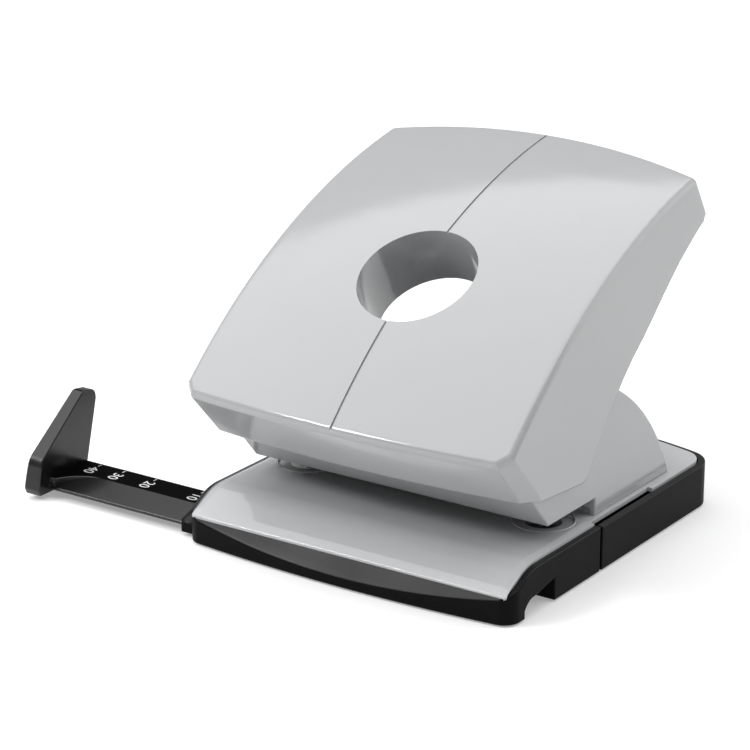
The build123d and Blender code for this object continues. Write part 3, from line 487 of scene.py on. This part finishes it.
def round_edges(form, radius, segments=2, keep=None, crease=SHARP):
    """Rounds the form's sharp outer edges, except where keep is true, and marks the creases."""
    outer = []
    for edge in form.edges:
        if len(edge.link_faces) != 2:
            continue
        turn = edge.calc_face_angle_signed(0)
        edge.smooth = abs(turn) < crease
        if turn > SHARP and not (keep and keep(middle(edge))):
            outer.append(edge)
    bmesh.ops.bevel(form, geom=outer, offset=radius, offset_type="OFFSET", segments=segments,
                    profile=.5, affect="EDGES", clamp_overlap=False, material=-1,
                    loop_slide=False)


def piece(name, form, materials, body, slot, *nodes):
    """The form as an object that rides on a body and stands for the nodes."""
    mesh = bpy.data.meshes.new(name)
    form.to_mesh(mesh)
    form.free()
    if "custom_normal" in mesh.attributes:
        mesh.attributes.remove(mesh.attributes["custom_normal"])
    mesh.polygons.foreach_set("use_smooth", [True] * len(mesh.polygons))
    for material in materials:
        mesh.materials.append(material)
    made = bpy.data.objects.new(name, mesh)
    bpy.context.scene.collection.objects.link(made)
    weighted = made.modifiers.new("even shading", "WEIGHTED_NORMAL")
    weighted.keep_sharp = True
    weighted.weight = EVEN_WEIGHT
    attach(made, body)
    if nodes:
        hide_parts(*nodes)
    return made


def moulded(node, name, material, slot, radius, walls=None):
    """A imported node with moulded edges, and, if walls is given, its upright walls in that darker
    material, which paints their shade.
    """
    form = merged_copy(node)
    round_edges(form, radius, crease=CREASE if walls else SHARP)
    form.normal_update()
    if walls:
        # Upright faces take the darker walls material: painted shade.
        for face in form.faces:
            face.material_index = int(abs(face.normal.z) < UPRIGHT)
    return piece(name, form, [material, walls] if walls else [material],
                 frame["nodes"][node]["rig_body"], slot, node)


def coat_node(node, material):
    """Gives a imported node, shown as it is, its finish."""
    mesh = frame["nodes"][node].data
    mesh.materials.clear()
    mesh.materials.append(material)


class PieceOperator:
    """Lets the user run and undo a piece's operator."""
    bl_options = {"REGISTER", "UNDO"}


class PUNCH_OT_lever(PieceOperator, Operator):
    """Moulded lever shell"""
    bl_idname = "punch.lever"
    bl_label = "Lever shell"

    def execute(self, context):
        sizes = context.scene.punch_sizes
        form = merged_copy("lever_shell")
        form.normal_update()
        skirt = {vertex for face in form.faces if face.normal.dot(WALL_FOOT) > FOOT_FACING
                 and abs(face.calc_center_median().x) > WALL_INSIDE for vertex in face.verts}
        for vertex in skirt:
            drop = sizes.skirt_drop * ease(vertex.co.y, DROP_START, DROP_END)
            vertex.co += WALL_FOOT * drop
        for vertex in form.verts:
            place = vertex.co
            place.y += (sizes.lip_corner
                        * ease(place.y + LIP_LEAN * (place.z - LIP_FOOT), CORNER_START, CORNER_END)
                        * ease(abs(place.x), CORNER_INSIDE, CORNER_OUTSIDE)
                        * ramp(place.z, CORNER_TOP, CORNER_FOOT))

        def fine(place):
            """True by the centre groove and in the hand hole."""
            return (abs(place.x) < GROOVE_REACH
                    or (place - HAND_HOLE).cross(HAND_HOLE_AXIS).length < HAND_HOLE_REACH)

        def off_lip_edge(place):
            """True away from the lip's lower edge."""
            return (place.y < LIP_EDGE_Y or place.z > LIP_EDGE_Z or fine(place)
                    or abs(place.x) > LIP_EDGE_X)

        def fine_or_lip(place):
            """True at the fine forms and on the lip."""
            return fine(place) or place.y > LIP_ZONE_Y and place.z < LIP_ZONE_Z

        round_edges(form, sizes.lip_edge, 3, off_lip_edge)
        round_edges(form, sizes.housing_edge, 2, fine_or_lip)
        piece("lever_cover", form, [housing_plastic(context.scene)], "lever", "gray_plastic",
              "lever_shell")
        return {"FINISHED"}


class PUNCH_OT_tower(PieceOperator, Operator):
    """Punch tower with its jaw and cheeks"""
    bl_idname = "punch.tower"
    bl_label = "Punch tower"

    def execute(self, context):
        moulded("punch_tower", "tower_housing", housing_plastic(context.scene), "gray_plastic",
                context.scene.punch_sizes.housing_edge)
        return {"FINISHED"}


class PUNCH_OT_table(PieceOperator, Operator):
    """Glossy paper table and the deck behind the tower"""
    bl_idname = "punch.table"
    bl_label = "Table and deck"

    def execute(self, context):
        sizes = context.scene.punch_sizes
        gloss = table_plastic(context.scene)
        form = merged_copy("paper_table")
        low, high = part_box("paper_table")
        for blend in (0, sizes.rim_blend):
            for side in (1, -1):
                cut(form, (side * (high.x - sizes.rim_width - blend), 0, 0), (1, 0, 0))
        for blend in (0, sizes.rim_blend):
            cut(form, (0, low.y + sizes.rim_width * FRONT_RIM + blend, 0), (0, 1, 0))
        top = even_region(max(form.faces, key=lambda face: face.calc_area() * face.normal.z))
        for vertex in {vertex for face in top for vertex in face.verts}:
            inside = min(high.x - abs(vertex.co.x), (vertex.co.y - low.y) / FRONT_RIM)
            vertex.co.z -= sizes.rim_fall * (1 - min(inside / sizes.rim_width, 1))

        def by_die(place):
            """True at the shallow rings around the dies."""
            return Vector((abs(place.x) - PIN_REACH, place.y)).length < RING_REACH

        round_edges(form, sizes.ring_edge, 2, lambda place: not by_die(place))
        round_edges(form, sizes.table_edge, 3, by_die)
        piece("table_top", form, [gloss], "base", "gray_table", "paper_table")
        for name, x in (("die_ring_left", -PIN_REACH), ("die_ring_right", PIN_REACH)):
            ring = bmesh.new()
            bmesh.ops.create_circle(ring, segments=BEAD_SIDES, radius=sizes.ring_edge,
                                    matrix=Matrix.Translation((x + sizes.ring_radius, 0, high.z))
                                    @ Matrix.Rotation(radians(90), 4, "X"))
            bmesh.ops.spin(ring, geom=ring.verts[:] + ring.edges[:], cent=(x, 0, high.z),
                           axis=(0, 0, 1), angle=radians(360), steps=BEAD_STEPS, use_merge=True)
            bmesh.ops.recalc_face_normals(ring, faces=ring.faces)
            piece(name, ring, [gloss], "base", "gray_table")
        # The deck's lighter gray is painted light.
        moulded("rear_deck", "deck_cover", deck_plastic_painted_light(context.scene), "gray_plastic",
                sizes.small_edge)
        return {"FINISHED"}


class PUNCH_OT_base(PieceOperator, Operator):
    """Black front moulding with its sleeve around the rail, and the chip tray"""
    bl_idname = "punch.base"
    bl_label = "Base and chip tray"

    def execute(self, context):
        sizes = context.scene.punch_sizes
        facets, walls = base_plastic(context.scene), wall_plastic_painted_shade(context.scene)
        moulded("base_moulding", "base_front", facets, "black_plastic", sizes.base_edge, walls)
        moulded("chip_tray", "tray_shell", facets, "black_plastic", sizes.base_edge, walls)
        sleeve = merged_copy("paper_guide")
        cut(sleeve, (-sizes.sleeve_start, 0, 0), (-1, 0, 0), clear_outer=True)
        cut(sleeve, (-sizes.sleeve_end, 0, 0), (1, 0, 0), clear_outer=True)
        sleeve.normal_update()
        bare = [face for face in sleeve.faces if face.normal.y > SLEEVE_BACK
                or abs(face.normal.x) > SLEEVE_END_FACING]
        bmesh.ops.delete(sleeve, geom=bare, context="FACES")
        for vertex in sleeve.verts:
            vertex.co += Vector((0, vertex.normal.y, vertex.normal.z)) * sizes.sleeve_gap
        inner = sleeve.faces[:]
        outer = bmesh.ops.extrude_face_region(sleeve, geom=inner)["geom"]
        for vertex in [item for item in outer if isinstance(item, bmesh.types.BMVert)]:
            rise = SLEEVE_SPREAD_Z if vertex.co.z > SLEEVE_FOOT else 0
            vertex.co += Vector((0, SLEEVE_SPREAD_Y, rise)) * sizes.sleeve_wall
        bmesh.ops.delete(sleeve, geom=inner, context="FACES_ONLY")
        bmesh.ops.recalc_face_normals(sleeve, faces=sleeve.faces)
        piece("guide_sleeve", sleeve, [facets], "base", "black_plastic")
        return {"FINISHED"}


class PUNCH_OT_guide(PieceOperator, Operator):
    """Sliding paper guide with its printed marks"""
    bl_idname = "punch.guide"
    bl_label = "Paper guide"

    def execute(self, context):
        sizes = context.scene.punch_sizes
        form = merged_copy("paper_guide")
        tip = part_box("paper_guide")[1].z - TIP_HEIGHT
        back = max(vertex.co.y for vertex in form.verts if vertex.co.z > tip)
        ends = [edge for edge in form.edges
                if middle(edge).z > tip and middle(edge).y > back - TIP_DEPTH
                and abs((edge.verts[0].co - edge.verts[1].co).normalized().x) > ALONG_X
                and edge.calc_face_angle(0) > SHARP]
        bmesh.ops.bevel(form, geom=ends, offset=sizes.tip_edge, offset_type="OFFSET", segments=4,
                        profile=.5, affect="EDGES", clamp_overlap=True, material=-1)
        round_edges(form, sizes.guide_edge, crease=CREASE)
        form.normal_update()
        for face in form.faces:
            # The flat top takes the deeper black: painted shade.
            face.material_index = int(face.normal.z > FLAT_TOP)
        piece("guide_rail", form, [guide_plastic(context.scene), rail_top_painted_shade(context.scene)],
              "paper_guide", "black_plastic", "paper_guide")
        printing = bmesh.new()
        for x, number in MARKS:
            words = bpy.data.curves.new("number", "FONT")
            words.body = number
            words.size = sizes.mark_height
            words.align_x = words.align_y = "CENTER"
            words.extrude = sizes.mark_relief / 2
            flat = bpy.data.objects.new("number", words)
            mesh = bpy.data.meshes.new_from_object(flat)
            mesh.transform(Matrix.Translation((x, NUMBER_ROW, RAIL_TOP))
                           @ Matrix.Rotation(-radians(90), 4, "Z"))
            printing.from_mesh(mesh)
            bpy.data.objects.remove(flat)
            tick = bmesh.ops.create_cube(printing, size=1)["verts"]
            bmesh.ops.scale(printing, verts=tick, vec=(TICK_WIDTH, TICK_LENGTH, sizes.mark_relief))
            bmesh.ops.translate(printing, verts=tick, vec=(x, TICK_ROW, RAIL_TOP))
        piece("guide_marks", printing, [printing_ink(context.scene)], "paper_guide",
              "black_plastic")
        return {"FINISHED"}


class PUNCH_OT_punching(PieceOperator, Operator):
    """Pin guides, pins, washers, dies and springs"""
    bl_idname = "punch.punching"
    bl_label = "Punching pieces"

    def execute(self, context):
        bright = bright_steel(context.scene)
        for side in ("left", "right"):
            moulded("pin_guide_" + side, "guide_bush_" + side, guide_plastic(context.scene),
                    "black_plastic", context.scene.punch_sizes.small_edge)
            for node in ("punch_pin_", "spring_washer_", "die_"):
                coat_node(node + side, bright)
            spring = "return_spring_" + side
            coil = piece("coil_" + side, merged_copy(spring), [bright], "base", "bright_steel",
                         spring)
            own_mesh(coil)
        return {"FINISHED"}


class PUNCH_OT_steel(PieceOperator, Operator):
    """Steel frames, plate, axle, bar, rivets and screws"""
    bl_idname = "punch.steel"
    bl_label = "Steel pieces"

    def execute(self, context):
        zinc, bright = zinc_steel(context.scene), bright_steel(context.scene)
        for node in ("steel_base_plate", "punch_frame", "lever_frame"):
            moulded(node, node + "_plated", zinc, "zinc_steel",
                    context.scene.punch_sizes.small_edge)
        coat_node("frame_rivets", zinc)
        for node in ("pivot_axle", "axle_clips", "press_bar", "lever_screws", "detent_spring",
                     "base_screws"):
            coat_node(node, bright)
        return {"FINISHED"}


class PUNCH_OT_pads(PieceOperator, Operator):
    """Rubber pads under the base"""
    bl_idname = "punch.pads"
    bl_label = "Rubber pads"

    def execute(self, context):
        for node in ("front_pad", "rear_pad"):
            moulded(node, node + "_rubber", rubber_skin(context.scene), "rubber",
                    context.scene.punch_sizes.small_edge)
        return {"FINISHED"}


# ---------------------------------------------------------------- studio
def soft_lamp(name, place, target, width, height, energy):
    """A rectangular lamp that looks at the target."""
    lamp = bpy.data.lights.new(name, "AREA")
    lamp.shape = "RECTANGLE"
    lamp.size, lamp.size_y, lamp.energy = width, height, energy
    made = bpy.data.objects.new(name, lamp)
    made.location = place
    made.rotation_euler = (Vector(target) - Vector(place)).to_track_quat("-Z", "Y").to_euler()
    bpy.context.scene.collection.objects.link(made)
    return made


def floor_material(studio):
    """Pale floor that keeps the shadow and reads white around it."""
    material, tree, shader = new_material("pale floor")
    tree.nodes.remove(shader)
    path = tree.nodes.new("ShaderNodeLightPath").outputs
    seen = combined(tree, "MAXIMUM", path["Is Camera Ray"], path["Is Glossy Ray"])
    seen = combined(tree, "MAXIMUM", seen, path["Is Transmission Ray"])
    place = tree.nodes.new("ShaderNodeTexCoord")
    away = tree.nodes.new("ShaderNodeVectorMath")
    away.operation = "LENGTH"
    tree.links.new(place.outputs["Object"], away.inputs[0])
    lift = spread(tree, away.outputs["Value"], studio.floor_lift, FAR_LIFT, LIFT_START, LIFT_END)
    diffuse = tree.nodes.new("ShaderNodeBsdfDiffuse")
    diffuse.inputs["Color"].default_value = rgba(studio.floor)
    glow = tree.nodes.new("ShaderNodeEmission")
    tree.links.new(combined(tree, "MULTIPLY", seen, lift), glow.inputs["Strength"])
    add = tree.nodes.new("ShaderNodeAddShader")
    tree.links.new(diffuse.outputs[0], add.inputs[0])
    tree.links.new(glow.outputs[0], add.inputs[1])
    tree.links.new(add.outputs[0], tree.nodes["Material Output"].inputs["Surface"])
    return material


def sky(studio):
    """Plain surrounding light from the horizon upwards, which the camera sees as white."""
    world = bpy.data.worlds.new("studio")
    world.use_nodes = True
    tree = world.node_tree
    background = tree.nodes["Background"]
    place = tree.nodes.new("ShaderNodeTexCoord")
    parts = tree.nodes.new("ShaderNodeSeparateXYZ")
    tree.links.new(place.outputs["Generated"], parts.inputs[0])
    light = spread(tree, parts.outputs["Z"], studio.low_sky, studio.high_sky, SKY_START, SKY_END)
    path = tree.nodes.new("ShaderNodeLightPath").outputs
    tree.links.new(combined(tree, "MAXIMUM", path["Is Camera Ray"], light),
                   background.inputs["Strength"])
    background.inputs["Color"].default_value = (1, 1, 1, 1)
    return world


class PUNCH_OT_stage(PieceOperator, Operator):
    """Pale floor, soft lamps, surrounding light and camera"""
    bl_idname = "punch.stage"
    bl_label = "Studio"

    def execute(self, context):
        scene = context.scene
        studio = scene.punch_studio
        form = bmesh.new()
        bmesh.ops.create_grid(form, x_segments=1, y_segments=1, size=FLOOR_HALF)
        mesh = bpy.data.meshes.new("floor")
        form.to_mesh(mesh)
        form.free()
        mesh.materials.append(floor_material(studio))
        floor = bpy.data.objects.new("floor", mesh)
        scene.collection.objects.link(floor)
        key = soft_lamp("key", KEY_PLACE, KEY_TARGET, 2.4, 1.96, studio.key)
        key.rotation_euler = (0, 0, KEY_TURN)
        soft_lamp("side", (1.05, .85, .85), CENTRE, 1.0, 1.0, studio.side)
        soft_lamp("rear", (.85, 1.2, .3), CENTRE, 1.3, .58, studio.rear)
        soft_lamp("front", (-.68, -.80, .82), CENTRE, .34, .2, studio.front)
        scene.world = sky(studio)
        camera = bpy.data.cameras.new("camera")
        camera.sensor_width = CAMERA_SENSOR
        camera.lens = CAMERA_LENS
        camera.clip_start, camera.clip_end = .05, 20
        eye = bpy.data.objects.new("camera", camera)
        eye.location = CAMERA_PLACE
        eye.rotation_euler = CAMERA_TURN
        scene.collection.objects.link(eye)
        scene.camera = eye
        scene.view_settings.view_transform = "Standard"
        return {"FINISHED"}


class PUNCH_PT_panel(Panel):
    """Lists the pieces of the desk punch"""
    bl_idname = "PUNCH_PT_panel"
    bl_label = "Desk punch"
    bl_space_type = "VIEW_3D"
    bl_region_type = "UI"
    bl_category = "Desk punch"

    def draw(self, context):
        for step in STEPS:
            self.layout.operator(step.bl_idname)
        for settings in (context.scene.punch_sizes, context.scene.punch_finish,
                         context.scene.punch_studio):
            box = self.layout.box()
            for name in settings.bl_rna.properties.keys():
                if name not in ("rna_type", "name"):
                    box.prop(settings, name)


STEPS = (PUNCH_OT_lever, PUNCH_OT_tower, PUNCH_OT_table, PUNCH_OT_base, PUNCH_OT_guide,
         PUNCH_OT_punching, PUNCH_OT_steel, PUNCH_OT_pads, PUNCH_OT_stage)
CLASSES = (PunchSizes, PunchFinish, PunchStudio, *STEPS, PUNCH_PT_panel)
SETTINGS = {"punch_sizes": PunchSizes, "punch_finish": PunchFinish, "punch_studio": PunchStudio}


def register():
    for item in CLASSES:
        bpy.utils.register_class(item)
    for name, kind in SETTINGS.items():
        setattr(bpy.types.Scene, name, PointerProperty(type=kind))


def unregister():
    for name in SETTINGS:
        delattr(bpy.types.Scene, name)
    for item in reversed(CLASSES):
        bpy.utils.unregister_class(item)


def main():
    """Makes every piece and the studio."""
    register()
    for step in STEPS:
        family, name = step.bl_idname.split(".")
        getattr(getattr(bpy.ops, family), name)()


if __name__ == "__main__":
    main()
